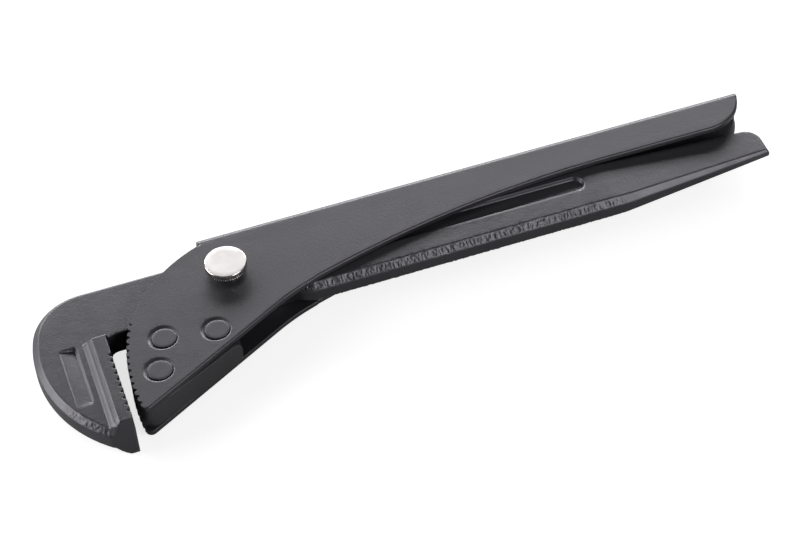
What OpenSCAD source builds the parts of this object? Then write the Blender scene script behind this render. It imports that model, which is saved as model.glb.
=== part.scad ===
// Channel-lever pipe wrench: a forged hook lever pinned in a pressed steel
// channel lever. X runs along the channel's web towards the handle ends, Y
// points from the pivot towards the web, and Z is the pivot's axis. Z = 0 is the
// outer face of the lower cheek, and the origin is on the pivot.

/* [Channel lever] */
// Width over the two cheeks
channel_h = 16; // [15.6:0.1:17]
// Thickness of the pressed sheet
sheet_t = 2.5; // [2.3:0.05:2.6]
// Distance from the pivot to the web's outer face
web_y = 20.4; // [20:0.1:21]
// Where the web starts, ahead of the pivot
web_start = -7; // [-7.4:0.1:-5]
// Where the channel lever ends
channel_end = 222.6; // [216:0.1:226]
// Outer radius of the two bends
bend_r = 3; // [2.8:0.1:3.4]

/* [Hook lever] */
// Thickness of the forged bar
lever_t = 10.7; // [10.4:0.05:10.8]
// Thickness over the two jaw pads
pad_t = 18.6; // [17.6:0.1:19.4]
// Distance from the pivot to the bar's back edge
back_y = 12.8; // [12.4:0.1:13]
// Where the hook lever ends
lever_end = 223.8; // [223:0.1:228]
// Width and height of the bevel round the hook and along the bar's back
bevel = 2.6; // [1.6:0.1:2.8]
// Width of the grip's bevel
grip_bevel_w = 2.8; // [2:0.1:3]
// Height of the grip's bevel
grip_bevel_h = 3.3; // [2:0.1:3.6]
// Distance between the pivot holes
hole_pitch = 12; // [11:0.1:14]
// Number of pivot holes
hole_count = 4; // [1:1:5]

/* [Jaws] */
// Depth of the teeth
tooth_depth = 1.3; // [0.8:0.1:1.5]
// Width of the notch between two teeth
notch_w = 1.9; // [1.4:0.1:2.2]
// Pitch of the hook's teeth
hook_pitch = 3.14; // [2.9:0.02:3.3]
// Number of notches in the hook
hook_notches = 10; // [6:1:10]
// Number of notches in the heel jaw
heel_notches = 13; // [8:1:13]
// Diameter of a rivet's flush head
rivet_d = 9.4; // [8:0.1:10]

/* [Pivot screw] */
// Diameter of the knurled head
head_d = 16.5; // [14:0.1:18]
// Height of the knurled head
head_h = 3; // [2.5:0.1:4]
// Diameter of the plain shank
shank_d = 8; // [7:0.1:8.4]
// Diameter of the threaded tail
tail_d = 6; // [5:0.1:6.4]

/* [Hidden] */
$fn = 96;
eps = 0.01;
fit_gap = 0.05; // radial clearance of every round fit
mid_z = channel_h / 2;
web_inner = web_y - sheet_t;
gap_h = channel_h - 2 * sheet_t;

// Cheek outline: the arc over the jaw, the toothed arc and the grip's lower edge
brow_c = [14.6, -43.8];
brow_r = 64.1;
brow_from = 109.2;
brow_to = 150.2;
heel_c = [28, -44.1];
heel_r = 76.7;
heel_from = 155.3;
heel_to = 187.2;
heel_step = (heel_to - heel_from) / heel_notches;
toe_c = [-45.4, -53];
toe_r = 2.6;
flank_angle = 29.2;
knee_c = [59.1, -108.7];
knee_r = 96.6;
grip_c = [160, -434.6];
grip_r = 438;
grip_from = 107.2;
tail_r = 18.5;
tail_c = [channel_end - tail_r, 3.4 + tail_r];

// Heel jaw block, between the cheeks
heel_top = -17.2;
heel_rear = -4.4;
heel_inset = 0.5;
heel_round = 4;

// Rivet places: two behind the teeth and one at the block's rear
rivet_upper = [-31.5, -24.9];
rivet_lower = [-37, -39.6];
rivet_rear = [-11.7, -28];
rivet_r = rivet_d / 2;
rivet_shank_r = 3.6;
rivet_lip = 0.3;
rivet_sink = 1.9;
sink_ring = 0.7; // how far the countersinks open beyond the heads

// Hook lever outline: jaw face, throat, grip and the round of the hook
face_x = -52.1;
tip_y = -60.2;
throat_y = -13.6;
throat_r = 3;
first_notch = -26.7;
grip_y = -18.2;
shoulder = [17, 31];
shoulder_turn = 2 * atan((throat_y - grip_y) / (shoulder[1] - shoulder[0]));
shoulder_r = (shoulder[1] - shoulder[0]) / 2 / sin(shoulder_turn);
rise_x = 157;
rise_r = 60;
rise_angle = 6.3;
crown_c = [-56, back_y - 23.1];
crown_r = 23.1;
hook_c = [-25.6, -19];
crown_to = atan2(crown_c[1] - hook_c[1], crown_c[0] - hook_c[0]);
hook_r = crown_r + norm(crown_c - hook_c);
hook_to = 180 + asin((hook_c[1] - tip_y) / hook_r);
end_r = 6.5;
end_c = [lever_end - end_r, -3.2];
back_run = end_c - [0, back_y];
back_dir = atan2(back_run[1], back_run[0]) + asin(end_r / norm(back_run));
lever_lo = mid_z - lever_t / 2;
lever_hi = mid_z + lever_t / 2;

// Jaw pads, and the recesses forged into both faces
pad_foot = -61;
pad_edge = -57.3;
pad_top = -18;
pad_run = 4;
pad_corner_lo = [-53.2, tip_y - 1];
pad_corner_hi = [-63, -56.8];
pocket_lo = [-70.2, -44.7];
pocket_hi = [-63.3, -14.8];
pocket_r = 2.2;
recess_d = 1.6;
groove_w = 7.5;
groove_y = -3;
groove_x = [58, 142.7];
taper_from = 155;
taper_end_t = 4.3;
taper_angle = atan((lever_t - taper_end_t) / 2 / (lever_end - taper_from));

// Pivot screw heights
collar_h = 2;
collar_d = 11.5;
head_lo = channel_h + collar_h;
head_hi = head_lo + head_h;
tail_lo = 0.3;
head_chamfer = 0.5;

function on_arc(c, r, a) = c + r * [cos(a), sin(a)];
function arc(c, r, from, to, n) = [for (i = [0:n]) on_arc(c, r, from + (to - from) * i / n)];

// A toothed arc: lands on the radius, with a pointed notch between each two
function toothed_arc(c, r, from, step, count) = [
    for (k = [0:count - 1])
        for (p = [[-notch_w / 2, 0], [0, -tooth_depth], [notch_w / 2, 0]])
            on_arc(c, r + p[1], from + step * (k + 0.5) + p[0] / r * 180 / PI)
];

heel_teeth = toothed_arc(heel_c, heel_r, heel_from, heel_step, heel_notches);

// Rectangle from lo to hi with corners of radius r
module round_box(lo, hi, r) {
    size = hi - lo;
    translate(lo + [r, 0]) square([size[0] - 2 * r, size[1]]);
    translate(lo + [0, r]) square([size[0], size[1] - 2 * r]);
    for (x = [lo[0] + r, hi[0] - r], y = [lo[1] + r, hi[1] - r])
        translate([x, y]) circle(r = r);
}

// ---------------------------------------------------------------- channel

module cheek_outline() {
    polygon(concat(
        [[web_start, web_y], [web_start, web_inner]],
        arc(brow_c, brow_r, brow_from, brow_to, 16),
        heel_teeth,
        arc(toe_c, toe_r, 187.2, 270 + flank_angle, 8),
        arc(knee_c, knee_r, 90 + flank_angle, grip_from, 6),
        arc(grip_c, grip_r, grip_from, 90, 20),
        arc(tail_c, tail_r, 270, 360 - asin((tail_c[1] - web_y) / tail_r), 16)
    ));
}

// Cross-section of the channel in Y and Z: a U open towards -Y
module channel_section() {
    reach = 90;
    inner_r = bend_r - sheet_t + 0.3;
    difference() {
        union() {
            translate([web_y - reach, 0]) square([reach - bend_r, channel_h]);
            translate([web_y - 2 * bend_r, bend_r]) square([2 * bend_r, channel_h - 2 * bend_r]);
            for (z = [bend_r, channel_h - bend_r])
                translate([web_y - bend_r, z]) circle(r = bend_r);
        }
        translate([web_y - reach - 1, sheet_t]) square([reach + 1 - sheet_t - inner_r, gap_h]);
        translate([web_inner - 2 * inner_r, sheet_t + inner_r])
            square([2 * inner_r, gap_h - 2 * inner_r]);
        for (z = [sheet_t + inner_r, channel_h - sheet_t - inner_r])
            translate([web_inner - inner_r, z]) circle(r = inner_r);
    }
}

module channel_lever() {
    color("#26282a")
    difference() {
        intersection() {
            linear_extrude(channel_h) cheek_outline();
            translate([-80, 0, 0]) rotate([90, 0, 90]) linear_extrude(320) channel_section();
        }
        translate([0, 0, mid_z]) cylinder(r = shank_d / 2 + fit_gap, h = channel_h);
        translate([0, 0, -1]) cylinder(r = tail_d / 2 + fit_gap, h = sheet_t + 2);
        for (p = [rivet_upper, rivet_lower, rivet_rear])
            translate(p) rivet_hole();
    }
}

// ---------------------------------------------------------------- heel jaw

module heel_outline() {
    intersection() {
        polygon(concat(
            [[heel_rear, heel_top - 4], [heel_rear, -70], [-80, -70], [-80, heel_top], [-30, heel_top]],
            [[heel_rear - 5, heel_top - 2]]
        ));
        polygon(concat(
            heel_teeth,
            arc(toe_c, toe_r - heel_inset, 187.2, 270 + flank_angle, 8),
            arc(knee_c, knee_r + heel_inset, 90 + flank_angle, grip_from, 6),
            [[20, 0], [-35, 0]]
        ));
    }
}

// Section of the block in X and Z, with its rear end rounded
module heel_section() {
    translate([-60, sheet_t]) square([60 + heel_rear - heel_round, gap_h]);
    translate([-60, sheet_t + heel_round]) square([60 + heel_rear, gap_h - 2 * heel_round]);
    for (z = [sheet_t + heel_round, channel_h - sheet_t - heel_round])
        translate([heel_rear - heel_round, z]) circle(r = heel_round);
}

module heel_jaw() {
    color("#303234")
    difference() {
        intersection() {
            translate([0, 0, sheet_t]) linear_extrude(gap_h) heel_outline();
            rotate([90, 0, 0]) linear_extrude(60) heel_section();
        }
        for (p = [rivet_upper, rivet_lower, rivet_rear])
            translate(p) rivet_hole();
    }
}

// ---------------------------------------------------------------- rivets

// A flush rivet: a shank with a countersunk head in each cheek
module rivet() {
    rotate_extrude()
    polygon([
        [0, 0], [rivet_r, 0], [rivet_r, rivet_lip], [rivet_shank_r, rivet_sink],
        [rivet_shank_r, channel_h - rivet_sink], [rivet_r, channel_h - rivet_lip],
        [rivet_r, channel_h], [0, channel_h]
    ]);
}

// Its hole, with countersinks a little wider than the heads
module rivet_hole() {
    r = rivet_shank_r + fit_gap;
    rotate_extrude()
    polygon([
        [0, -1], [rivet_r + sink_ring + 1, -1], [r, rivet_sink + fit_gap],
        [r, channel_h - rivet_sink - fit_gap], [rivet_r + sink_ring + 1, channel_h + 1], [0, channel_h + 1]
    ]);
}

module jaw_rivet_upper() {
    color("#2c2e30") translate(rivet_upper) rivet();
}

module jaw_rivet_lower() {
    color("#2c2e30") translate(rivet_lower) rivet();
}

module jaw_rivet_rear() {
    color("#2c2e30") translate(rivet_rear) rivet();
}

// ---------------------------------------------------------------- hook lever

// Hook's notches, from the tip up
hook_teeth = [
    for (k = [hook_notches - 1:-1:0])
        for (p = [[-notch_w / 2, 0], [0, -tooth_depth], [notch_w / 2, 0]])
            [face_x + p[1], first_notch - hook_pitch * k + p[0]]
];

rise_end = [rise_x + rise_r * sin(rise_angle), grip_y + rise_r * (1 - cos(rise_angle))];
toe_y = rise_end[1] + (lever_end - rise_end[0]) * tan(rise_angle);

module lever_outline() {
    polygon(concat(
        [[face_x, tip_y]],
        hook_teeth,
        arc([face_x + throat_r, throat_y - throat_r], throat_r, 180, 90, 8),
        arc([shoulder[0], throat_y - shoulder_r], shoulder_r, 90, 90 - shoulder_turn, 6),
        arc([shoulder[1], grip_y + shoulder_r], shoulder_r, 270 - shoulder_turn, 270, 6),
        arc([rise_x, grip_y + rise_r], rise_r, 270, 270 + rise_angle, 4),
        [[lever_end, toe_y]],
        arc(end_c, end_r, 0, 90 + back_dir, 12),
        [[0, back_y]],
        arc(crown_c, crown_r, 90, crown_to, 16),
        arc(hook_c, hook_r, crown_to, hook_to, 20)
    ));
}

// Section of a bevelling cut, w across the face and h down the side
module bevel_section(w, h) {
    polygon([[-1, -h - h / w], [-1, 1], [w + w / h, 1]]);
}

// A bevel on the straight edge from p to q, with the bar on its left
module bevel_edge(p, q, w = bevel, h = bevel) {
    d = q - p;
    over = 2;
    translate([p[0], p[1], lever_hi])
        rotate([0, 0, atan2(d[1], d[0])])
            rotate([90, 0, 90])
                translate([0, 0, -over]) linear_extrude(norm(d) + 2 * over) bevel_section(w, h);
}

// The same for an outline's outer arc
module bevel_arc(c, r, from, to, w = bevel, h = bevel) {
    over = 1;
    translate([c[0], c[1], lever_hi])
        rotate([0, 0, from - over])
            rotate_extrude(angle = to - from + 2 * over)
                translate([r, 0]) mirror([1, 0]) bevel_section(w, h);
}

module bevels() {
    gw = grip_bevel_w;
    gh = grip_bevel_h;
    bevel_edge(on_arc(end_c, end_r, 90 + back_dir), [0, back_y]);
    bevel_edge([0, back_y], [crown_c[0], back_y]);
    bevel_arc(crown_c, crown_r, 90, crown_to);
    bevel_arc(hook_c, hook_r, crown_to, hook_to);
    bevel_arc([shoulder[1], grip_y + shoulder_r], shoulder_r, 270 - shoulder_turn, 270, gw, gh);
    bevel_edge([shoulder[1], grip_y], [rise_x, grip_y], gw, gh);
    bevel_arc([rise_x, grip_y + rise_r], rise_r, 270, 270 + rise_angle, gw, gh);
    bevel_edge(rise_end, [lever_end, toe_y], gw, gh);
    bevel_edge([lever_end, toe_y], [lever_end, end_c[1]]);
    bevel_arc(end_c, end_r, 0, 90 + back_dir);
}

// The faces' slow taper towards the lever's end
module taper() {
    translate([taper_from, -40, lever_hi])
        rotate([0, taper_angle, 0])
            cube([100, 80, 10]);
}

// Pocket and groove, sunk in the upper face
module face_recesses() {
    translate([0, 0, lever_hi - recess_d]) linear_extrude(recess_d + 1) {
        round_box(pocket_lo, pocket_hi, pocket_r);
        round_box(
            [groove_x[0] - groove_w / 2, groove_y - groove_w / 2],
            [groove_x[1] + groove_w / 2, groove_y + groove_w / 2],
            groove_w / 2 - eps
        );
    }
}

module both_faces() {
    children();
    translate([0, 0, channel_h]) mirror([0, 0, 1]) children();
}

// Section of the jaw pads in X and Z
module pad_section() {
    polygon([
        [pad_foot, -lever_t / 2], [pad_edge, -pad_t / 2], [0, -pad_t / 2],
        [0, pad_t / 2], [pad_edge, pad_t / 2], [pad_foot, lever_t / 2]
    ]);
}

// Plan of the pads, with the corner behind the tip cut off
module pad_plan() {
    polygon([[-40, tip_y - 1], pad_corner_lo, pad_corner_hi, [-70, 0], [-40, 0]]);
}

// Side view of the pads in Y and Z, run out towards the throat
module pad_side() {
    polygon([
        [-70, -pad_t / 2], [pad_top, -pad_t / 2], [pad_top + pad_run, -lever_t / 2],
        [pad_top + pad_run, lever_t / 2], [pad_top, pad_t / 2], [-70, pad_t / 2]
    ]);
}

module jaw_pads() {
    intersection() {
        translate([0, 0, mid_z]) rotate([90, 0, 0]) linear_extrude(70) pad_section();
        translate([-70, 0, mid_z]) rotate([90, 0, 90]) linear_extrude(22) pad_side();
        linear_extrude(60, center = true) pad_plan();
        linear_extrude(60, center = true) lever_outline();
    }
}

module hook_lever() {
    color("#2a2c2e")
    difference() {
        union() {
            difference() {
                translate([0, 0, lever_lo]) linear_extrude(lever_t) lever_outline();
                both_faces() bevels();
            }
            jaw_pads();
        }
        both_faces() taper();
        both_faces() face_recesses();
        for (k = [0:hole_count - 1])
            translate([k * hole_pitch, 0, 0]) cylinder(r = shank_d / 2 + fit_gap, h = channel_h);
    }
}

// ---------------------------------------------------------------- pivot screw

module pivot_screw() {
    r = head_d / 2;
    color("#d8d8d6")
    rotate_extrude()
    polygon([
        [0, tail_lo], [tail_d / 2 - 0.4, tail_lo], [tail_d / 2, tail_lo + 0.4], [tail_d / 2, sheet_t + 0.2],
        [shank_d / 2, sheet_t + 0.2], [shank_d / 2, channel_h], [collar_d / 2, channel_h],
        [collar_d / 2, head_lo], [r - head_chamfer, head_lo], [r, head_lo + head_chamfer],
        [r, head_hi - head_chamfer], [r - head_chamfer, head_hi], [0, head_hi]
    ]);
}

channel_lever();
hook_lever();
heel_jaw();
jaw_rivet_upper();
jaw_rivet_lower();
jaw_rivet_rear();
pivot_screw();
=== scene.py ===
import math

import bmesh
import bpy
import numpy as np
from mathutils import Matrix, Vector, noise
from mathutils.geometry import delaunay_2d_cdt


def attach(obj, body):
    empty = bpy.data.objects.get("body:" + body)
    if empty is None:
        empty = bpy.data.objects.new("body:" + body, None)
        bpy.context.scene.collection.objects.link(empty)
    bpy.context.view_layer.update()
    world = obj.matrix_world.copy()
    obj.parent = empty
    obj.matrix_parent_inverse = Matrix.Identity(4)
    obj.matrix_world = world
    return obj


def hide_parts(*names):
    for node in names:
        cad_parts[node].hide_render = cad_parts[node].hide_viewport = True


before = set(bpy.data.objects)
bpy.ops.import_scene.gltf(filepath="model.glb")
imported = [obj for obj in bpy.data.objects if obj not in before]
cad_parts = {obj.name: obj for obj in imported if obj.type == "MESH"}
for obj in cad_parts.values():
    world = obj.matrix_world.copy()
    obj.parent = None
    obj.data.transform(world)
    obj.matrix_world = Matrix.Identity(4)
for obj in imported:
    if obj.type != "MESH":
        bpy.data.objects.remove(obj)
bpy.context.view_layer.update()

# Sizes are worked out in millimetres and written to the meshes in metres. Angles are in degrees.
MM = 0.001


# ------------------------------------------------------------------ outlines

def on_arc(c, r, deg):
    a = math.radians(deg)
    return (c[0] + r * math.cos(a), c[1] + r * math.sin(a))


def arc(c, r, a0, a1, step=1.0):
    n = max(2, int(math.ceil(abs(math.radians(a1 - a0)) * r / step)))
    return [on_arc(c, r, a0 + (a1 - a0) * i / n) for i in range(n + 1)]


def circle(c, r, n=96):
    return [on_arc(c, r, 360 * i / n) for i in range(n)]


def line(p, q, step=1.0):
    n = max(1, int(math.ceil(math.dist(p, q) / step)))
    return [(p[0] + (q[0] - p[0]) * i / n, p[1] + (q[1] - p[1]) * i / n) for i in range(n + 1)]


def chain(*parts):
    """Joins point lists into one, without the doubled points where they meet."""
    out = []
    for part in parts:
        for p in part:
            if not out or math.dist(out[-1], p) > 0.02:
                out.append((float(p[0]), float(p[1])))
    return out


def ring(*parts):
    """A chain whose last point doesn't repeat its first."""
    out = chain(*parts)
    return out[:-1] if math.dist(out[0], out[-1]) < 0.02 else out


# The teeth of both jaws: V notches with a slightly blunt bottom.
NOTCH, TOOTH, ROOT_HALF = 1.9, 1.3, 0.1
ROOT = TOOTH - 0.06

# The channel lever's cheek, seen from above with the pivot at 0, 0: the arcs along its front, heel, toe,
# knee, grip side and far end.
BROW_C, BROW_R, BROW_A0, BROW_A1 = (14.6, -43.8), 64.1, 109.2, 150.2
HEEL_C, HEEL_R, HEEL_A0, HEEL_A1, HEEL_N = (28.0, -44.1), 76.7, 155.3, 187.2, 13
TOE_C, TOE_R = (-45.4, -53.0), 2.6
KNEE_C, KNEE_R, FLANK = (59.1, -108.7), 96.6, 29.2
GRIP_C, GRIP_R, GRIP_A0 = (160.0, -434.6), 438.0, 107.2
CH_END, TAIL_R, CH_GRIP_Y = 222.6, 18.5, 3.4
TAIL_C = (CH_END - TAIL_R, CH_GRIP_Y + TAIL_R)

# The folded sheet. The cheeks end and the bends begin at SEAM, and the web starts just behind the brow.
WEB_Y, SHEET, CH_H, BEND, BEND_IN = 20.4, 2.5, 16.0, 3.0, 0.8
SEAM, BROW_END_X, WEB_X0 = 17.0, -6.72, -7.0
MID_Z = CH_H / 2
SHANK_HOLE_R, TAIL_HOLE_R, RIVET_HOLE_R = 4.05, 3.05, 4.9
RIVETS = {
    "jaw_rivet_upper": (-31.5, -24.9),
    "jaw_rivet_lower": (-37.0, -39.6),
    "jaw_rivet_rear": (-11.7, -28.0),
}


def heel_teeth(land=0.0):
    """The toothed arc, lowered by land: a V notch between each two lands."""
    step = (HEEL_A1 - HEEL_A0) / HEEL_N
    notch = ((-NOTCH / 2, 0), (-ROOT_HALF, ROOT), (ROOT_HALF, ROOT), (NOTCH / 2, 0))
    pts = [on_arc(HEEL_C, HEEL_R - land, HEEL_A0)]
    for k in range(HEEL_N):
        mid = HEEL_A0 + step * (k + 0.5)
        for off, drop in notch:
            pts.append(on_arc(HEEL_C, HEEL_R - drop - land, mid + math.degrees(off / HEEL_R)))
    return pts


# The hook lever: its thickness, back line, jaw face, throat, shoulder down to the grip, and rise at the end.
LEVER_T, PAD_T, BACK_Y, LEVER_END = 10.7, 18.6, 12.8, 223.8
FACE_X, TIP_Y, THROAT_Y, THROAT_R = -52.1, -60.2, -13.6, 4.5
JAW_TEETH, JAW_PITCH, JAW_TOOTH_Y, JAW_TEETH_END = 10, 3.14, -26.7, -25.7
GRIP_Y, SH_X0, SH_X1 = -18.2, 17.0, 31.0
SH_TURN = 2 * math.degrees(math.atan((THROAT_Y - GRIP_Y) / (SH_X1 - SH_X0)))
SH_R = (SH_X1 - SH_X0) / 2 / math.sin(math.radians(SH_TURN))
RISE_X, RISE_R, RISE_A = 157.0, 60.0, 6.3
RISE_RAD = math.radians(RISE_A)
RISE_END = (RISE_X + RISE_R * math.sin(RISE_RAD), GRIP_Y + RISE_R * (1 - math.cos(RISE_RAD)))
TOE_Y = RISE_END[1] + (LEVER_END - RISE_END[0]) * math.tan(RISE_RAD)

# The hook's crown and its round, tangent where they meet, and the rounded end of the back line.
CROWN_R = 23.1
CROWN_C = (-56.0, BACK_Y - CROWN_R)
HOOK_C = (-25.6, -19.0)
CROWN_TO = math.degrees(math.atan2(CROWN_C[1] - HOOK_C[1], CROWN_C[0] - HOOK_C[0]))
HOOK_R = CROWN_R + math.dist(CROWN_C, HOOK_C)
HOOK_TO = 180 + math.degrees(math.asin((HOOK_C[1] - TIP_Y) / HOOK_R))
END_R = 6.5
END_C = (LEVER_END - END_R, -3.2)
BACK_DIR = math.degrees(
    math.atan2(END_C[1] - BACK_Y, END_C[0])
    + math.asin(END_R / math.hypot(END_C[0], END_C[1] - BACK_Y)))

# Its pivot holes, its two recesses as (low corner, high corner, corner radius), and its bevels: RIM along the
# hook and back, HAND along the grip.
HOLE_N, HOLE_PITCH, HOLE_R, HOLE_RING_R = 4, 12.0, 4.05, 4.3
POCKET, POCKET_DEEP = ((-70.2, -44.7), (-63.3, -14.8), 2.2), 1.4
GROOVE, GROOVE_DEEP = ((54.25, -6.75), (146.45, 0.75), 3.74), 1.55
RIM_W, RIM_DROP, HAND_W, HAND_DROP = 2.6, 2.6, 2.6, 3.1
TAPER_X, TAPER = 155, 0.0087

# The jaw pad: where its slope starts and how wide it is, its top end, and its cut corner as a point and the
# direction square to the cut.
PAD_OVER = (PAD_T - LEVER_T) / 2
SLOPE_X, SLOPE_W, PAD_END_Y, PAD_END_W = -61.1, 3.9, -14.4, 1.9
CUT_AT, CUT_WAY, CUT_START, CUT_W = (-53.2, -61.2), (4.4, 9.8), 2.4, 2.2


# ------------------------------------------------------------------ numbers on arrays

def seg_dist(p, a, b):
    """Shortest distance from each point p to the polyline pieces a-b."""
    best = np.full(len(p), 1e9)
    for i in range(0, len(a), 64):
        aa, bb = a[i:i + 64], b[i:i + 64]
        ab = bb - aa
        t = ((p[:, None] - aa) * ab).sum(2) / np.maximum((ab * ab).sum(1), 1e-12)
        q = aa + np.clip(t, 0, 1)[..., None] * ab
        best = np.minimum(best, np.hypot(*(p[:, None] - q).transpose(2, 0, 1)).min(1))
    return best


def line_dist(p, pts, closed=False):
    a = np.array(pts, float)
    b = np.roll(a, -1, 0) if closed else a[1:]
    return seg_dist(p, a if closed else a[:-1], b)


def inside(p, poly):
    a = np.array(poly, float)
    b = np.roll(a, -1, 0)
    hit = np.zeros(len(p), bool)
    for (x0, y0), (x1, y1) in zip(a, b):
        if y0 == y1:
            continue
        cross = (y0 > p[:, 1]) != (y1 > p[:, 1])
        hit ^= cross & (p[:, 0] < (x1 - x0) * (p[:, 1] - y0) / (y1 - y0) + x0)
    return hit


def everywhere(p):
    return np.ones(len(p), bool)


def smooth(t):
    t = np.clip(t, 0, 1)
    return t * t * (3 - 2 * t)


def smin(a, b, k):
    """The smaller of a and b, blended where they are within k of each other."""
    h = np.clip(0.5 + 0.5 * (b - a) / k, 0, 1)
    return b + (a - b) * h - k * h * (1 - h)


def waves(p, scale, seed):
    """Smooth noise from -1 to 1 at each point."""
    return np.array([noise.noise(Vector((x / scale + seed, y / scale - seed, seed * 0.7))) for x, y in p])


def edge_round(d, r):
    """How far a rounded edge falls away, d in from the edge."""
    t = np.clip(1 - d / r, 0, 1)
    return r * (1 - np.sqrt(1 - t * t))


def offset(pts, d, closed=True):
    """The line moved d to its left, mitred at the corners."""
    a = np.array(pts, float)
    if closed:
        t0, t1 = a - np.roll(a, 1, 0), np.roll(a, -1, 0) - a
    else:
        seg = np.diff(a, axis=0)
        t0, t1 = np.vstack([seg[:1], seg]), np.vstack([seg, seg[-1:]])
    t0 /= np.linalg.norm(t0, axis=1)[:, None]
    t1 /= np.linalg.norm(t1, axis=1)[:, None]
    n0, n1 = np.c_[-t0[:, 1], t0[:, 0]], np.c_[-t1[:, 1], t1[:, 0]]
    m = n0 + n1
    m /= np.maximum(np.linalg.norm(m, axis=1), 1e-6)[:, None]
    k = np.clip((m * n0).sum(1), 0.45, 1)
    return a + m * (d / k)[:, None]


def rounded_box(box, inset, less_r):
    """The outline of a box moved in by inset, its corner radius smaller by less_r."""
    (x0, y0), (x1, y1), r = box
    x0, y0, x1, y1, r = x0 + inset, y0 + inset, x1 - inset, y1 - inset, r - less_r
    corners = ((x1 - r, y0 + r, -90), (x1 - r, y1 - r, 0), (x0 + r, y1 - r, 90), (x0 + r, y0 + r, 180))
    return chain(*(arc((x, y), r, a, a + 90, 0.35) for x, y, a in corners))


def box_in(p, box):
    """Distance inside a rounded box, below 0 outside."""
    lo, hi, r = box
    c, h = (np.array(lo) + hi) / 2, (np.array(hi) - lo) / 2
    q = np.abs(p - c) - (h - r)
    return r - np.hypot(*np.maximum(q, 0).T) - np.minimum(np.maximum(q[:, 0], q[:, 1]), 0)


# ------------------------------------------------------------------ plates

def loose_points(grids, fixed, edges, outline, holes):
    """Staggered points at each grid's spacing, clear of the fixed lines and of each other."""
    lo, hi = fixed.min(0), fixed.max(0)
    starts, ends = fixed[edges[:, 0]], fixed[edges[:, 1]]
    loose = []
    for spacing, test in grids:
        xs = np.arange(lo[0] + spacing * 0.37, hi[0], spacing)
        ys = np.arange(lo[1] + spacing * 0.41, hi[1], spacing * 0.866)
        gx, gy = np.meshgrid(xs, ys)
        gx = gx + (np.arange(len(ys)) % 2 * spacing / 2)[:, None]
        g = np.c_[gx.ravel(), gy.ravel()]
        g = g[test(g)]
        g = g[inside(g, outline)]
        for hole in holes:
            g = g[~inside(g, hole)]
        if not len(g):
            continue
        g = g[seg_dist(g, starts, ends) > spacing * 0.42]
        if loose:
            old = np.vstack(loose)
            gap = np.array([np.hypot(*(old - q).T).min() for q in g])
            g = g[gap > spacing * 0.6]
        loose.append(g)
    return loose


def triangulate(points, edges, outline, holes):
    """The flat plate's points and counter-clockwise triangles, with nothing outside it or in a hole."""
    found = delaunay_2d_cdt([Vector(p) for p in points], [tuple(map(int, e)) for e in edges], [], 0, 1e-5)
    p = np.array([tuple(q) for q in found[0]], float)
    f = np.array([tuple(t) for t in found[2]], int)
    mid = p[f].mean(1)
    keep = inside(mid, outline)
    for hole in holes:
        keep &= ~inside(mid, hole)
    f = f[keep]
    u, v = p[f[:, 1]] - p[f[:, 0]], p[f[:, 2]] - p[f[:, 0]]
    area = u[:, 0] * v[:, 1] - u[:, 1] * v[:, 0]
    f, area = f[np.abs(area) > 1e-7], area[np.abs(area) > 1e-7]
    f[area < 0] = f[area < 0][:, ::-1]
    used = np.unique(f)
    new_index = -np.ones(len(p), int)
    new_index[used] = np.arange(len(used))
    return p[used], new_index[f]


def plate_mesh(outline, holes, guides, grids, top, bottom, rows):
    """A closed plate. outline runs counter-clockwise, guides are (points, closed) lines for the faces to
    follow, grids are (spacing, test) pairs of loose points, top and bottom give the two heights, and the
    wall between them has this many rows."""
    verts, edges = [], []
    outline = [tuple(p) for p in outline]
    holes = [[tuple(p) for p in hole] for hole in holes]
    for loop in [outline] + holes:
        base, n = len(verts), len(loop)
        verts.extend(loop)
        edges.extend((base + i, base + (i + 1) % n) for i in range(n))
    for pts, closed in guides:
        pts = np.array(pts, float)
        keep = inside(pts, outline)
        for hole in holes:
            keep &= ~inside(pts, hole)
        where = {}
        for i in np.flatnonzero(keep):
            where[i] = len(verts)
            verts.append(tuple(pts[i]))
        n = len(pts)
        for i in range(n if closed else n - 1):
            j = (i + 1) % n
            if i in where and j in where:
                edges.append((where[i], where[j]))
    edges, fixed = np.array(edges), np.array(verts, float)
    points = np.vstack([fixed] + loose_points(grids, fixed, edges, outline, holes))
    p, f = triangulate(points, edges, outline, holes)

    zt, zb = top(p), bottom(p)
    n = len(p)
    vs = [(x, y, z) for (x, y), z in zip(p, zt)] + [(x, y, z) for (x, y), z in zip(p, zb)]
    faces = [tuple(map(int, t)) for t in f] + [tuple(int(i) + n for i in t[::-1]) for t in f]
    columns = {}

    def column(i):
        """The points of the wall from the top point i to the bottom one."""
        if i not in columns:
            ids = [i]
            for row in range(1, rows):
                w = row / rows
                vs.append((p[i, 0], p[i, 1], zt[i] * (1 - w) + zb[i] * w))
                ids.append(len(vs) - 1)
            columns[i] = ids + [i + n]
        return columns[i]

    sides = dict.fromkeys((int(t[i]), int(t[(i + 1) % 3])) for t in f for i in range(3))
    for a, b in sides:
        if (b, a) in sides:
            continue
        ca, cb = column(a), column(b)
        for row in range(rows):
            faces.append((ca[row], ca[row + 1], cb[row + 1], cb[row]))
    return vs, faces


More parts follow.
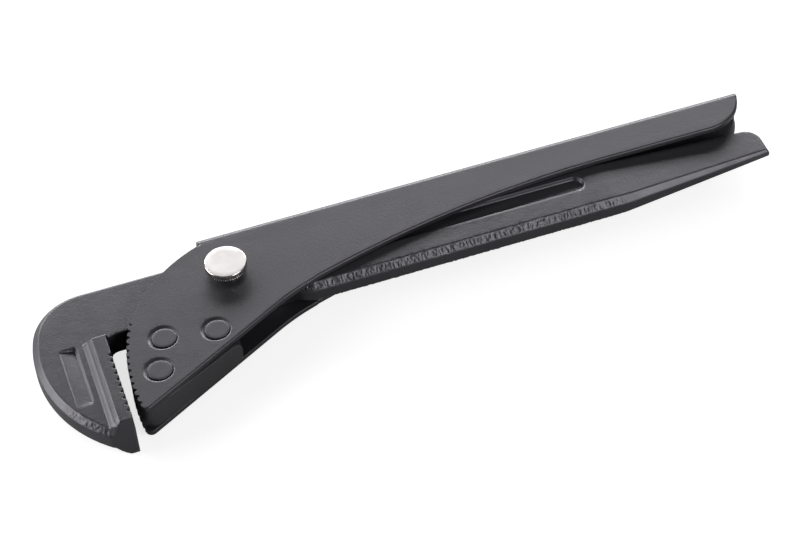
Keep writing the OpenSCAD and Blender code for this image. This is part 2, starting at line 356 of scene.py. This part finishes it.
def make(name, parts, sharp):
    """One object from (vertices in mm, faces) parts, smooth but for the edges above the sharp angle."""
    vs, fs = [], []
    for v, f in parts:
        base = len(vs)
        vs.extend(v)
        fs.extend(tuple(i + base for i in t) for t in f)
    me = bpy.data.meshes.new(name)
    me.from_pydata([(x * MM, y * MM, z * MM) for x, y, z in vs], [], fs)
    me.validate()
    bm = bmesh.new()
    bm.from_mesh(me)
    bmesh.ops.dissolve_degenerate(bm, dist=1e-8, edges=bm.edges)
    bmesh.ops.recalc_face_normals(bm, faces=bm.faces)
    bm.to_mesh(me)
    bm.free()
    me.polygons.foreach_set("use_smooth", [True] * len(me.polygons))
    me.set_sharp_from_angle(angle=math.radians(sharp))
    ob = bpy.data.objects.new(name, me)
    bpy.context.scene.collection.objects.link(ob)
    shading = ob.modifiers.new("even_shading", "WEIGHTED_NORMAL")
    shading.keep_sharp = True
    shading.mode = "FACE_AREA"
    shading.weight = 60
    return ob


# ------------------------------------------------------------------ hook lever

def lever_outline():
    """The forging's outline, and the two stretches of it that are bevelled."""
    teeth = []
    for k in reversed(range(JAW_TEETH)):
        y = JAW_TOOTH_Y - JAW_PITCH * k
        teeth.append((FACE_X, y - NOTCH / 2))
        teeth.append((FACE_X - ROOT, y - ROOT_HALF))
        teeth.append((FACE_X - ROOT, y + ROOT_HALF))
        teeth.append((FACE_X, y + NOTCH / 2))
    tip = (FACE_X, TIP_Y)
    jaw = chain([tip], teeth, line((FACE_X, JAW_TEETH_END), (FACE_X, THROAT_Y - THROAT_R)))
    throat = chain(
        arc((FACE_X + THROAT_R, THROAT_Y - THROAT_R), THROAT_R, 180, 90, 0.5),
        line((FACE_X + THROAT_R, THROAT_Y), (SH_X0, THROAT_Y)))
    grip = chain(
        arc((SH_X0, THROAT_Y - SH_R), SH_R, 90, 90 - SH_TURN),
        arc((SH_X1, GRIP_Y + SH_R), SH_R, 270 - SH_TURN, 270),
        line((SH_X1, GRIP_Y), (RISE_X, GRIP_Y)),
        arc((RISE_X, GRIP_Y + RISE_R), RISE_R, 270, 270 + RISE_A),
        line(RISE_END, (LEVER_END, TOE_Y)))
    tail = chain(
        line((LEVER_END, TOE_Y), (LEVER_END, END_C[1]), 0.6),
        arc(END_C, END_R, 0, 90 + BACK_DIR, 0.5))
    back = chain(line(tail[-1], (0, BACK_Y)), line((0, BACK_Y), (CROWN_C[0], BACK_Y)))
    crown = arc(CROWN_C, CROWN_R, 90, CROWN_TO)
    hook = chain(crown, arc(HOOK_C, HOOK_R, CROWN_TO, HOOK_TO), line(on_arc(HOOK_C, HOOK_R, HOOK_TO), tip))
    full = ring(jaw, throat, grip, tail, back, hook)
    rim = chain(tail, back, crown, arc(HOOK_C, HOOK_R, CROWN_TO, HOOK_TO + 3))
    return full, rim, grip


def taper(x):
    """The lever's thickness and bevels get smaller toward its end."""
    return 1 - TAPER * np.clip(np.asarray(x, float) - TAPER_X, 0, None)


def grip_share(x):
    """How much of the grip's bevel there is: none at the throat, all of it along the grip."""
    return smooth((np.asarray(x, float) - SH_X0) / 9)


def rim_width(x):
    return RIM_W * taper(x)


def hand_width(x):
    return HAND_W * (0.25 + 0.75 * grip_share(x)) * taper(x)


def forge_marks(p, side, where):
    """Hammer marks, worked out only where there are any."""
    marks = np.zeros(len(p))
    q = p[where]
    if len(q):
        marks[where] = waves(q * (1.6, 0.8), 1.05, 5.5 * side) * 0.46 + waves(q, 0.7, 2.5 * side) * 0.2
    return marks


def pocket_depth(p):
    """The recess beside the pad: drafted walls, and a floor that gets shallow to the left and low down."""
    x, y = p[:, 0], p[:, 1]
    (x0, y0), (x1, y1), _ = POCKET
    left, right = smooth((x - x0 + 0.1) / 0.45), smooth((x1 + 0.2 - x) / 1.5)
    high, low = smooth((y1 + 0.2 - y) / 0.8), smooth((y - y0 + 0.2) / 2.5)
    lean_x = 0.25 + 0.75 * np.clip((x - x0 - 0.2) / 5.5, 0, 1)
    lean_y = 0.12 + 0.88 * np.clip((y - y0 + 0.3) / 28, 0, 1)
    walls = np.minimum(np.minimum(left, right), high) * low
    return POCKET_DEEP * lean_x * lean_y * walls * smooth((box_in(p, POCKET) + 0.3) / 0.5)


def pad_rise(p):
    """How far the jaw pad stands over the plate: slope with a faint step, cut corner and steep top end."""
    x, y = p[:, 0], p[:, 1]
    ramp_x = (x - SLOPE_X) / SLOPE_W
    cut = ((x - CUT_AT[0]) * CUT_WAY[0] + (y - CUT_AT[1]) * CUT_WAY[1]) / math.hypot(*CUT_WAY)
    ramp = np.clip(smin(ramp_x, (cut + CUT_START) / CUT_W, 1.2), 0, 1)
    step = 0.045 * np.exp(-((ramp - 0.5) / 0.09) ** 2) * (ramp_x < 1)
    rise = PAD_OVER * (ramp - step) * smooth((PAD_END_Y - y) / PAD_END_W)
    return np.where(x < -40, rise, 0)


def lever_half(p, side, full, rim, grip):
    """Half thickness over the mid-plane, on the upper side (1) or the lower (-1)."""
    x, y = p[:, 0], p[:, 1]
    f = taper(x)
    plate = LEVER_T / 2 * f
    d_rim, d_grip = line_dist(p, rim), line_dist(p, grip)
    share = grip_share(x)

    # hammer marks on the grip's bevel and on the hook's lower rim
    on_grip = smooth((x - 20) / 8) * smooth((168 - x) / 22) * (d_grip < HAND_W + 0.8)
    on_hook = smooth((-34 - y) / 14) * (d_rim < RIM_W + 0.6) * (x < -40)
    marks = forge_marks(p, side, (on_grip + on_hook) > 0) * smooth(np.minimum(d_grip, d_rim) / 0.7)

    rough = waves(p, 9.0, 3.1 * side) * 0.022 + waves(p, 3.2, 8.7 * side) * 0.008
    face = plate + rough - 0.03
    rim_bevel = plate - RIM_DROP * f * (1 - d_rim / rim_width(x)) + 0.6 * marks * on_hook
    hand_bevel = plate - HAND_DROP * f * share * (1 - d_grip / hand_width(x)) + marks * on_grip
    hand_bevel = np.where(share < 1e-4, 99.0, hand_bevel)
    out = smin(smin(face, rim_bevel, 0.35), hand_bevel, 0.35)

    out -= pocket_depth(p)
    out -= GROOVE_DEEP * smooth((box_in(p, GROOVE) + 0.2) / 0.95)
    out += pad_rise(p) * np.clip((PAD_T / 2 - out) / PAD_OVER, 0, 1)
    if side > 0:
        # the tip's end face is drafted
        out = np.minimum(out, 5.0 + 3.2 * line_dist(p, [on_arc(HOOK_C, HOOK_R, HOOK_TO), (FACE_X, TIP_Y)]))
    return np.minimum(out - edge_round(line_dist(p, full, True), 0.3), PAD_T / 2)


def build_lever():
    full, rim, grip = lever_outline()
    holes = [circle((HOLE_PITCH * k, 0), HOLE_R, 64)[::-1] for k in range(HOLE_N)]
    guides = [(offset(full, d), True) for d in (0.08, 0.3)]
    for off in (-0.4, -0.15, 0.1, 0.4):
        for edge, width in ((rim, rim_width), (grip, hand_width)):
            g = np.array(edge)
            guides.append((g + (offset(edge, 1, False) - g) * (width(g[:, 0]) + off)[:, None], False))
    for k in range(HOLE_N):
        guides.append((circle((HOLE_PITCH * k, 0), HOLE_RING_R, 64), True))
    for d in (-0.25, 0.0, 0.25, 0.55, 0.9, 1.25):
        guides.append((rounded_box(POCKET, d, min(d, 1.6)), True))
    for d in (-0.2, 0.05, 0.3, 0.55, 0.8):
        guides.append((rounded_box(GROOVE, d, d), True))
    # down the pad's slope, across its top end, and along the tip's end face
    for t in np.linspace(0, 1, 15):
        x = -61.3 + 4.3 * t
        guides.append((line((x, -59.9), (x, -9.0), 0.7), False))
    for y in (-14.5, -14.9, -15.3, -15.7, -16.1, -16.4):
        guides.append((line((-61.0, y), (FACE_X - 0.2, y), 0.6), False))
    for d in (0.3, 0.7, 1.1, 1.35):
        guides.append((line((-60.5, TIP_Y + d), (FACE_X - 0.4, TIP_Y + d), 0.5), False))
    grids = [
        (0.36, lambda g: (line_dist(g, grip) < HAND_W + 0.7) & (g[:, 0] > 18) & (g[:, 0] < 172)),
        (0.42, lambda g: (line_dist(g, rim) < RIM_W + 0.6) & (g[:, 1] < -28) & (g[:, 0] < -40)),
        (0.6, lambda g: (g[:, 0] < -50) & (g[:, 1] < -10)),
        (1.6, everywhere),
    ]

    def top(p):
        return MID_Z + lever_half(p, 1, full, rim, grip)

    def bottom(p):
        return MID_Z - lever_half(p, -1, full, rim, grip)

    return plate_mesh(full, holes, guides, grids, top, bottom, rows=3)


# ------------------------------------------------------------------ channel lever

def x_end(y):
    """Where the channel's rounded far end is, at this y."""
    return TAIL_C[0] + math.sqrt(max(TAIL_R ** 2 - (y - TAIL_C[1]) ** 2, 0))


def build_cheek(z_out, z_in, hole_r):
    """One cheek, up to the seam where the bend starts."""
    way = 1 if z_out > z_in else -1
    tail_to = 360 - math.degrees(math.asin((TAIL_C[1] - SEAM) / TAIL_R))
    front = arc(BROW_C, BROW_R, BROW_A0, BROW_A1)
    brow = chain(front, arc(HEEL_C, HEEL_R, HEEL_A0, HEEL_A1))
    free = chain(
        [(BROW_END_X, SEAM)], front, heel_teeth(),
        arc(TOE_C, TOE_R, HEEL_A1, 270 + FLANK, 0.3),
        arc(KNEE_C, KNEE_R, 90 + FLANK, GRIP_A0),
        arc(GRIP_C, GRIP_R, GRIP_A0, 90),
        line((GRIP_C[0], CH_GRIP_Y), (TAIL_C[0], CH_GRIP_Y)),
        arc(TAIL_C, TAIL_R, 270, tail_to, 0.5))
    full = ring(free, line((x_end(SEAM), SEAM), (BROW_END_X, SEAM), 4.0))
    rivet_holes = [circle(c, RIVET_HOLE_R)[::-1] for c in RIVETS.values()]
    holes = [circle((0, 0), hole_r)[::-1]] + rivet_holes

    def outer(p):
        """The outside: edges less round behind the brow, a dish at each rivet, and a faint waviness."""
        d = line_dist(p, free)
        z = edge_round(d, 0.15 + 0.75 * smooth((line_dist(p, brow) - 1) / 4))
        z += edge_round(np.abs(np.hypot(*p.T) - hole_r), 0.25)
        for c in RIVETS.values():
            q = np.hypot(p[:, 0] - c[0], p[:, 1] - c[1])
            shifted = np.hypot(p[:, 0] - c[0] + 0.42, p[:, 1] - c[1] - 0.5)
            z += 0.55 * smooth((6.05 - shifted) / 1.2) * (q > 4.7)
        z += (waves(p, 26.0, 1.7) * 0.03 + 0.03) * smooth((15.5 - p[:, 1]) / 4) * smooth(d / 3)
        return z_out - way * z

    def inner(p):
        return z_in + way * edge_round(line_dist(p, free), 0.3)

    guides = [(offset(free, d, False), False) for d in (0.1, 0.3, 0.6, 1.0)]
    for c in RIVETS.values():
        for r in (5.0, 5.35, 5.7, 6.0, 6.35, 6.7):
            guides.append((circle(c, r), True))
    for d in (0.08, 0.25):
        guides.append((circle((0, 0), hole_r + d), True))
    grids = [(2.2, lambda g: g[:, 0] < 70), (3.4, everywhere)]
    top, bottom = (outer, inner) if way > 0 else (inner, outer)
    return plate_mesh(full, holes, guides, grids, top, bottom, rows=1)


def web_section():
    """The outer and inner lines of the channel's back, as (y, z, outward y, outward z)."""
    in_y, in_z = WEB_Y - SHEET - BEND_IN, CH_H - SHEET - BEND_IN
    outer, inner = [], []
    for y in np.linspace(SEAM, WEB_Y - BEND, 3)[:-1]:
        outer.append((y, CH_H, 0, 1))
        inner.append((SEAM + (y - SEAM) * 0.25, CH_H - SHEET, 0, -1))
    for a in np.linspace(90, 0, 13):
        ca, sa = math.cos(math.radians(a)), math.sin(math.radians(a))
        outer.append((WEB_Y - BEND + BEND * ca, CH_H - BEND + BEND * sa, ca, sa))
        inner.append((in_y + BEND_IN * ca, in_z + BEND_IN * sa, -ca, -sa))
    for z in np.linspace(CH_H - BEND, MID_Z, 4)[1:]:
        outer.append((WEB_Y, z, 1, 0))
        down = (CH_H - BEND - z) / (CH_H - BEND - MID_Z)
        inner.append((WEB_Y - SHEET, in_z - (in_z - MID_Z) * down, -1, 0))
    for side in (outer, inner):
        side += [(y, CH_H - z, a, -b) for y, z, a, b in side[-2::-1]]
    return outer, inner


def build_web():
    """The channel's back with its two bends, as one section swept along X, its ends rounded."""
    outer, inner = web_section()
    n, r = len(outer), 0.4
    turns = [math.radians(a) for a in (0, 22, 45, 68, 90)]
    rounding = [(r * (1 - math.cos(a)), r * (1 - math.sin(a))) for a in turns]
    stations = [("front", *s) for s in rounding]
    stations += [("mid", x, 0) for x in np.arange(2.0, 198.0, 7.0)]
    stations += [("end", *s) for s in reversed(rounding)]
    vs, faces, rows = [], [], []
    for kind, along, inset in stations:
        row = []
        for y, z, ny, nz in outer + inner:
            y, z = y - ny * inset, z - nz * inset
            if kind == "front":
                x = WEB_X0 + along
            elif kind == "mid":
                x = along
            else:
                x = x_end(min(y, WEB_Y)) - along
            row.append(len(vs))
            vs.append((x, y, z))
        rows.append(row)
    for a, b in zip(rows, rows[1:]):
        for i in range(n - 1):
            faces.append((a[i], b[i], b[i + 1], a[i + 1]))
            faces.append((a[n + i], a[n + i + 1], b[n + i + 1], b[n + i]))
        faces.append((a[0], a[n], b[n], b[0]))
        faces.append((a[n - 1], b[n - 1], b[2 * n - 1], a[2 * n - 1]))
    for row, flip in ((rows[0], False), (rows[-1], True)):
        for i in range(n - 1):
            q = (row[i], row[i + 1], row[n + i + 1], row[n + i])
            faces.append(q[::-1] if flip else q)
    return vs, faces


# ------------------------------------------------------------------ heel jaw

# The block is set in from the cheeks' flank, and its back end is cut off square after a round of BACK_ROUND.
HEEL_IN, HEEL_LAND, HEEL_TOE_R, HEEL_GAP = 0.8, 0.06, 4.6, 0.02
HEEL_TOP_Y, HEEL_BACK_X, BACK_ROUND = -17.2, -4.4, 4.0


def build_heel():
    arc_r, flank_deg = HEEL_R - HEEL_LAND, 270 + FLANK
    # the corner at the toe touches the toothed arc and the flank, and is rounder than the cheeks', so a dark
    # recess shows between them
    nx, ny = on_arc((0, 0), 1, flank_deg)
    reach = (KNEE_C[0] - HEEL_C[0]) * nx + (KNEE_C[1] - HEEL_C[1]) * ny - KNEE_R - HEEL_IN
    leave = flank_deg - math.degrees(math.acos((reach - HEEL_TOE_R) / (arc_r - HEEL_TOE_R)))
    toe = arc(on_arc(HEEL_C, arc_r - HEEL_TOE_R, leave), HEEL_TOE_R, leave, flank_deg, 0.4)
    knee_r = KNEE_R + HEEL_IN
    knee = [p for p in arc(KNEE_C, knee_r, 90 + FLANK, GRIP_A0) if p[0] < HEEL_BACK_X - 0.05]
    knee_end = (HEEL_BACK_X, KNEE_C[1] + math.sqrt(knee_r ** 2 - (HEEL_BACK_X - KNEE_C[0]) ** 2))
    teeth = [p for p in heel_teeth(HEEL_LAND) if toe[0][1] + 0.3 < p[1] < HEEL_TOP_Y - 0.1]
    corner = (HEEL_C[0] - math.sqrt(arc_r ** 2 - (HEEL_TOP_Y - HEEL_C[1]) ** 2), HEEL_TOP_Y)
    full = ring(
        [corner], teeth, toe, knee, [knee_end], line(knee_end, (HEEL_BACK_X, -21.2)),
        [(-9.4, -19.2), (-30, HEEL_TOP_Y)], line((-30, HEEL_TOP_Y), corner))

    def half(p):
        t = np.clip((p[:, 0] - (HEEL_BACK_X - BACK_ROUND)) / BACK_ROUND, 0, 1)
        fall = BACK_ROUND * (1 - np.sqrt(np.maximum(1 - t * t, 0)))
        return MID_Z - SHEET - HEEL_GAP - fall - edge_round(line_dist(p, full, True), 0.35)

    guides = [(offset(full, d), True) for d in (0.1, 0.35)]
    for x in (-8.4, -7.6, -6.8, -6.1, -5.5, -5.05, -4.75, -4.55):
        guides.append((line((x, -60), (x, -15), 1.0), False))
    return plate_mesh(
        full, [], guides, [(2.0, everywhere)], lambda p: MID_Z + half(p), lambda p: MID_Z - half(p), rows=4)


# ------------------------------------------------------------------ turned pieces

def lathe(profile, n, c=(0, 0), swell=None):
    """A closed turned body from (r, z) points, its two ends on the axis. swell(r, z, turn) may move a
    point's radius."""
    vs, faces, rows = [], [], []
    for r, z in profile:
        if r < 1e-6:
            vs.append((c[0], c[1], z))
            rows.append([len(vs) - 1] * n)
            continue
        row = []
        for i in range(n):
            a = 2 * math.pi * i / n
            rr = swell(r, z, a) if swell else r
            row.append(len(vs))
            vs.append((c[0] + rr * math.cos(a), c[1] + rr * math.sin(a), z))
        rows.append(row)
    for a, b in zip(rows, rows[1:]):
        for i in range(n):
            j = (i + 1) % n
            q = tuple(dict.fromkeys((a[i], a[j], b[j], b[i])))
            if len(q) > 2:
                faces.append(q)
    return vs, faces


RIVET_PROUD = 0.12


def build_rivet(c):
    """A rivet: both heads spread in the cheeks, the upper one standing a little proud."""
    low = [(0, 0.06), (2.6, 0.05), (4.0, 0.03), (4.42, 0.03), (4.58, 0.09), (4.66, 0.22), (4.66, 0.6)]
    shank = [(3.6, 1.9), (3.6, 8.0), (3.6, 14.1), (4.62, 15.4)]
    high = [(4.66, 15.9), (4.6, 15.96), (4.45, 16.0), (3.6, 16.02), (1.8, 16.0), (0, 15.99)]
    return lathe(low + shank + [(r, z + RIVET_PROUD) for r, z in high], 96, c)


HEAD_R, HEAD_Z, KNURL_TEETH, KNURL_DEEP = 8.2, 20.93, 54, 0.6
THREAD_R, THREAD_PITCH, THREAD_DEEP = 2.98, 1.0, 0.52


def knurl(r, z, turn):
    """Straight knurl on the head's rim, run out at its upper edge."""
    if r < 8.0 or z > 20.55:
        return r
    run = min(1.0, (20.65 - z) / 0.3)
    return r - KNURL_DEEP * run * (0.5 + 0.5 * math.cos(turn * KNURL_TEETH)) ** 1.7


def thread(r, z, turn):
    """Thread ridges on the tail, smaller where it starts."""
    if r < THREAD_R:
        return r
    phase = (z / THREAD_PITCH - turn / (2 * math.pi)) % 1.0
    ridge = THREAD_R - THREAD_DEEP * min(1, max(0, (abs(phase - 0.5) * 2 - 0.08) / 0.8))
    lead = min(1.0, (z - 0.3) / 0.5)
    return min(ridge, 2.52 + 0.46 * lead)


def build_screw():
    """Head with a knurled rim, collar, plain shank and a threaded tail."""
    head = [(r, HEAD_Z) for r in (0, 2.0, 4.0, 6.0, 7.75)]
    head += [(7.85, 20.92), (7.95, 20.88), (8.05, 20.8), (8.12, 20.7), (8.16, 20.6)]
    rim = [(HEAD_R, z) for z in np.linspace(20.5, 18.4, 8)] + [(8.17, 18.25), (8.06, 18.12), (7.85, 18.05)]
    collar = [(6.2, 18.02), (5.8, 17.95), (5.62, 17.8), (5.55, 17.4), (5.55, 16.5)]
    collar += [(5.62, 16.2), (5.7, 16.06), (5.5, 16.02), (4.0, 16.0)]
    shank = [(3.99, 15.8), (3.99, 10.0), (3.99, 3.1), (3.8, 2.85), (2.95, 2.78), (0, 2.78)]
    upper = lathe(head + rim + collar + shank, KNURL_TEETH * 10, swell=knurl)
    ridges = [(THREAD_R, z) for z in np.arange(0.36, 2.98, 0.0625)]
    tail = lathe([(0, 0.31), (2.3, 0.31)] + ridges + [(2.2, 3.0), (0, 3.0)], 72, swell=thread)
    return [upper, tail]


# ------------------------------------------------------------------ materials

def material(name):
    m = bpy.data.materials.new(name)
    m.use_nodes = True
    return m, m.node_tree, m.node_tree.nodes["Principled BSDF"]


def link(nt, a, out, b, inp):
    nt.links.new(a.outputs[out], b.inputs[inp])


def noise_node(nt, src, scale, detail=3.0, rough=0.5):
    n = nt.nodes.new("ShaderNodeTexNoise")
    n.inputs["Scale"].default_value = scale
    n.inputs["Detail"].default_value = detail
    n.inputs["Roughness"].default_value = rough
    link(nt, src, "Object", n, "Vector")
    return n


def ramp(nt, src, out, lo, hi, a=0.0, b=1.0):
    """Maps lo-hi to a-b."""
    n = nt.nodes.new("ShaderNodeMapRange")
    n.inputs["From Min"].default_value = lo
    n.inputs["From Max"].default_value = hi
    n.inputs["To Min"].default_value = a
    n.inputs["To Max"].default_value = b
    link(nt, src, out, n, "Value")
    return n


def mix_rgb(nt, fac, out, a, b):
    """Mixes colour b over a, where a is a colour or an earlier mix."""
    n = nt.nodes.new("ShaderNodeMix")
    n.data_type = "RGBA"
    n.inputs["B"].default_value = (*b, 1)
    if isinstance(a, tuple):
        n.inputs["A"].default_value = (*a, 1)
    else:
        link(nt, a, "Result", n, "A")
    link(nt, fac, out, n, "Factor")
    return n


def maths(nt, operation, a, b):
    n = nt.nodes.new("ShaderNodeMath")
    n.operation = operation
    link(nt, a, "Result", n, 0)
    link(nt, b, "Result", n, 1)
    return n


def bump(nt, src, strength, distance, under=None):
    n = nt.nodes.new("ShaderNodeBump")
    n.inputs["Strength"].default_value = strength
    n.inputs["Distance"].default_value = distance
    link(nt, src, "Fac", n, "Height")
    if under:
        link(nt, under, "Normal", n, "Normal")
    return n


def paint(name, dark, light, rough, peel, coarse=0.0, edge_highlight=0.0):
    """Satin black enamel: slow changes of tone and gloss, fine orange peel, and a painted grey highlight on
    raised edges and crests.
    """
    m, nt, bsdf = material(name)
    tc = nt.nodes.new("ShaderNodeTexCoord")
    tone = ramp(nt, noise_node(nt, tc, 38, 4), "Fac", 0.35, 0.68)
    fleck = ramp(nt, noise_node(nt, tc, 900, 2), "Fac", 0.66, 0.74, 0, 0.35)
    colour = mix_rgb(nt, tone, "Result", dark, light)
    colour = mix_rgb(nt, fleck, "Result", colour, tuple(c * 1.9 for c in light))
    if edge_highlight > 0:
        # painted highlight: convex edges and hammer-mark crests are mixed toward grey in noisy patches,
        # standing in for glints of light
        geo = nt.nodes.new("ShaderNodeNewGeometry")
        edge = ramp(nt, geo, "Pointiness", 0.53, 0.62, 0, edge_highlight)
        patch = ramp(nt, noise_node(nt, tc, 260, 6, 0.7), "Fac", 0.45, 0.62)
        colour = mix_rgb(nt, maths(nt, "MULTIPLY", edge, patch), "Value", colour, (0.16, 0.16, 0.17))
    link(nt, colour, "Result", bsdf, "Base Color")
    gloss = ramp(nt, noise_node(nt, tc, 120, 5, 0.6), "Fac", 0.3, 0.7, *rough)
    link(nt, gloss, "Result", bsdf, "Roughness")
    relief = bump(nt, noise_node(nt, tc, 1300, 3, 0.55), peel, 0.0002)
    if coarse > 0:
        relief = bump(nt, noise_node(nt, tc, 240, 5, 0.6), coarse, 0.0005, relief)
    link(nt, relief, "Normal", bsdf, "Normal")
    bsdf.inputs["Specular IOR Level"].default_value = 0.9
    bsdf.inputs["Specular Tint"].default_value = (0.94, 0.91, 1.0, 1)
    bsdf.inputs["Coat Weight"].default_value = 0.15
    bsdf.inputs["Coat Roughness"].default_value = 0.2
    return m


def plated(name):
    """Bright nickel plate with turning rings and a faint haze, more satin on the head's flat top."""
    m, nt, bsdf = material(name)
    tc = nt.nodes.new("ShaderNodeTexCoord")
    wave = nt.nodes.new("ShaderNodeTexWave")
    wave.wave_type = "RINGS"
    wave.rings_direction = "Z"
    wave.inputs["Scale"].default_value = 420
    wave.inputs["Distortion"].default_value = 0.6
    link(nt, tc, "Object", wave, "Vector")
    tone = ramp(nt, noise_node(nt, tc, 160, 4), "Fac", 0.3, 0.7)
    colour = mix_rgb(nt, tone, "Result", (0.74, 0.71, 0.70), (0.82, 0.79, 0.785))
    link(nt, colour, "Result", bsdf, "Base Color")
    bsdf.inputs["Metallic"].default_value = 1.0
    gloss = ramp(nt, noise_node(nt, tc, 300, 5), "Fac", 0.3, 0.7, 0.16, 0.24)
    up = nt.nodes.new("ShaderNodeSeparateXYZ")
    link(nt, tc, "Normal", up, "Vector")
    satin = ramp(nt, up, "Z", 0.9, 0.99, 0, 0.22)
    link(nt, maths(nt, "ADD", gloss, satin), "Value", bsdf, "Roughness")
    link(nt, bump(nt, wave, 0.05, 0.0001), "Normal", bsdf, "Normal")
    return m


def seen_or_not(nt, unseen, seen):
    """One value for the camera and another for the light that reaches the object."""
    path = nt.nodes.new("ShaderNodeLightPath")
    n = nt.nodes.new("ShaderNodeMapRange")
    n.inputs["To Min"].default_value = unseen
    n.inputs["To Max"].default_value = seen
    link(nt, path, "Is Camera Ray", n, "Value")
    return n


def floor_material():
    """Matt paper. It shows near white to the camera and gives the object a weaker, grey bounce."""
    m, nt, bsdf = material("pale_floor")
    tc = nt.nodes.new("ShaderNodeTexCoord")
    tone = ramp(nt, noise_node(nt, tc, 6, 2), "Fac", 0.3, 0.7)
    grey = mix_rgb(nt, tone, "Result", (0.52, 0.52, 0.52), (0.54, 0.54, 0.54))
    link(nt, grey, "Result", bsdf, "Base Color")
    bsdf.inputs["Roughness"].default_value = 0.95
    bsdf.inputs["Specular IOR Level"].default_value = 0.0
    bsdf.inputs["Emission Color"].default_value = (1, 1, 1, 1)
    link(nt, seen_or_not(nt, 0.0, FLOOR_GLOW), "Result", bsdf, "Emission Strength")
    return m


# ------------------------------------------------------------------ pieces

BLACK, BLACK_LIGHT = (0.013, 0.0125, 0.0145), (0.019, 0.0183, 0.021)
channel_paint = paint("channel_paint", BLACK, BLACK_LIGHT, (0.42, 0.48), 0.28, 0.03)
# the last argument, 0.5, is the strength of the painted grey highlight on the lever's raised edges and
# hammer-mark crests
lever_paint = paint("lever_paint", (0.012, 0.0115, 0.0135), BLACK_LIGHT, (0.40, 0.47), 0.34, 0.14, 0.5)
jaw_paint = paint("jaw_paint", (0.023, 0.0235, 0.0245), (0.030, 0.0305, 0.032), (0.38, 0.46), 0.25, 0.06)
rivet_paint = paint("rivet_paint", (0.014, 0.0135, 0.0155), (0.020, 0.0193, 0.022), (0.42, 0.48), 0.24)
nickel = plated("nickel_plate")

lever = make("hook_lever_forging", [build_lever()], 50)
lever.data.materials.append(lever_paint)
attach(lever, "lever")
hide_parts("hook_lever")

cheeks = [build_cheek(CH_H, CH_H - SHEET, SHANK_HOLE_R), build_cheek(0, SHEET, TAIL_HOLE_R)]
channel = make("channel_lever_sheet", cheeks + [build_web()], 45)
channel.data.materials.append(channel_paint)
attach(channel, "channel")
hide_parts("channel_lever")

heel = make("heel_jaw_block", [build_heel()], 45)
heel.data.materials.append(jaw_paint)
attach(heel, "channel")
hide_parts("heel_jaw")

for node, c in RIVETS.items():
    rv = make(node + "_flush", [build_rivet(c)], 40)
    rv.data.materials.append(rivet_paint)
    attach(rv, "channel")
    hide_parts(node)

screw = make("pivot_screw_knurled", build_screw(), 60)
screw.data.materials.append(nickel)
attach(screw, "screw")
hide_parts("pivot_screw")


# ------------------------------------------------------------------ floor, lights and camera

FLOOR_Z, FLOOR_GLOW, WORLD_LIGHT, WORLD_SEEN = -0.0022, 0.75, 0.10, 1.1

bpy.ops.mesh.primitive_plane_add(size=6, location=(0.06, -0.02, FLOOR_Z))
floor = bpy.context.object
floor.name = "floor"
floor.data.materials.append(floor_material())

scene = bpy.context.scene
world = bpy.data.worlds.new("studio")
world.use_nodes = True
background = world.node_tree.nodes["Background"]
background.inputs["Color"].default_value = (1, 1, 1, 1)
strength = seen_or_not(world.node_tree, WORLD_LIGHT, WORLD_SEEN)
link(world.node_tree, strength, "Result", background, "Strength")
scene.world = world


def area(name, place, size, power):
    """A rectangular light that faces the middle of the wrench."""
    li = bpy.data.lights.new(name, "AREA")
    li.shape = "RECTANGLE"
    li.size, li.size_y = size
    li.energy = power
    ob = bpy.data.objects.new(name, li)
    scene.collection.objects.link(ob)
    ob.location = place
    ob.rotation_euler = (Vector((0.06, -0.02, 0.01)) - Vector(place)).to_track_quat("-Z", "Y").to_euler()


area("left_box", (-0.95, 0.30, 0.40), (0.9, 0.6), 9.5)
area("front_box", (0.62, -0.86, 0.60), (0.8, 0.4), 6.5)
area("back_key", (0.20, 1.10, 0.43), (2.0, 0.32), 24)

# The camera looks at AIM from DISTANCE metres, AZIMUTH round from behind and ELEVATION up, leaning by ROLL.
AIM, DISTANCE = Vector((0.062698, -0.022866, 0.016)), 0.86207
AZIMUTH, ELEVATION, ROLL = math.radians(16.2545), math.radians(47.1), math.radians(3.75)

cam_data = bpy.data.cameras.new("photo_camera")
cam = bpy.data.objects.new("photo_camera", cam_data)
scene.collection.objects.link(cam)
ca, sa, ce, se = math.cos(AZIMUTH), math.sin(AZIMUTH), math.cos(ELEVATION), math.sin(ELEVATION)
forward = Vector((sa * ce, ca * ce, -se))
level_up = Vector((sa * se, ca * se, ce))
level_right = Vector((ca, -sa, 0))
right = math.cos(ROLL) * level_right - math.sin(ROLL) * level_up
up = math.sin(ROLL) * level_right + math.cos(ROLL) * level_up
turn = Matrix((right, up, -forward)).transposed().to_4x4()
turn.translation = AIM - DISTANCE * forward
cam.matrix_world = turn
cam_data.lens = 101.25
cam_data.sensor_width = 36
cam_data.clip_start, cam_data.clip_end = 0.05, 20
bpy.context.scene.camera = cam

scene.view_settings.view_transform = "Standard"
scene.view_settings.look = "None"
scene.view_settings.exposure = 0.0
scene.view_settings.gamma = 1.0
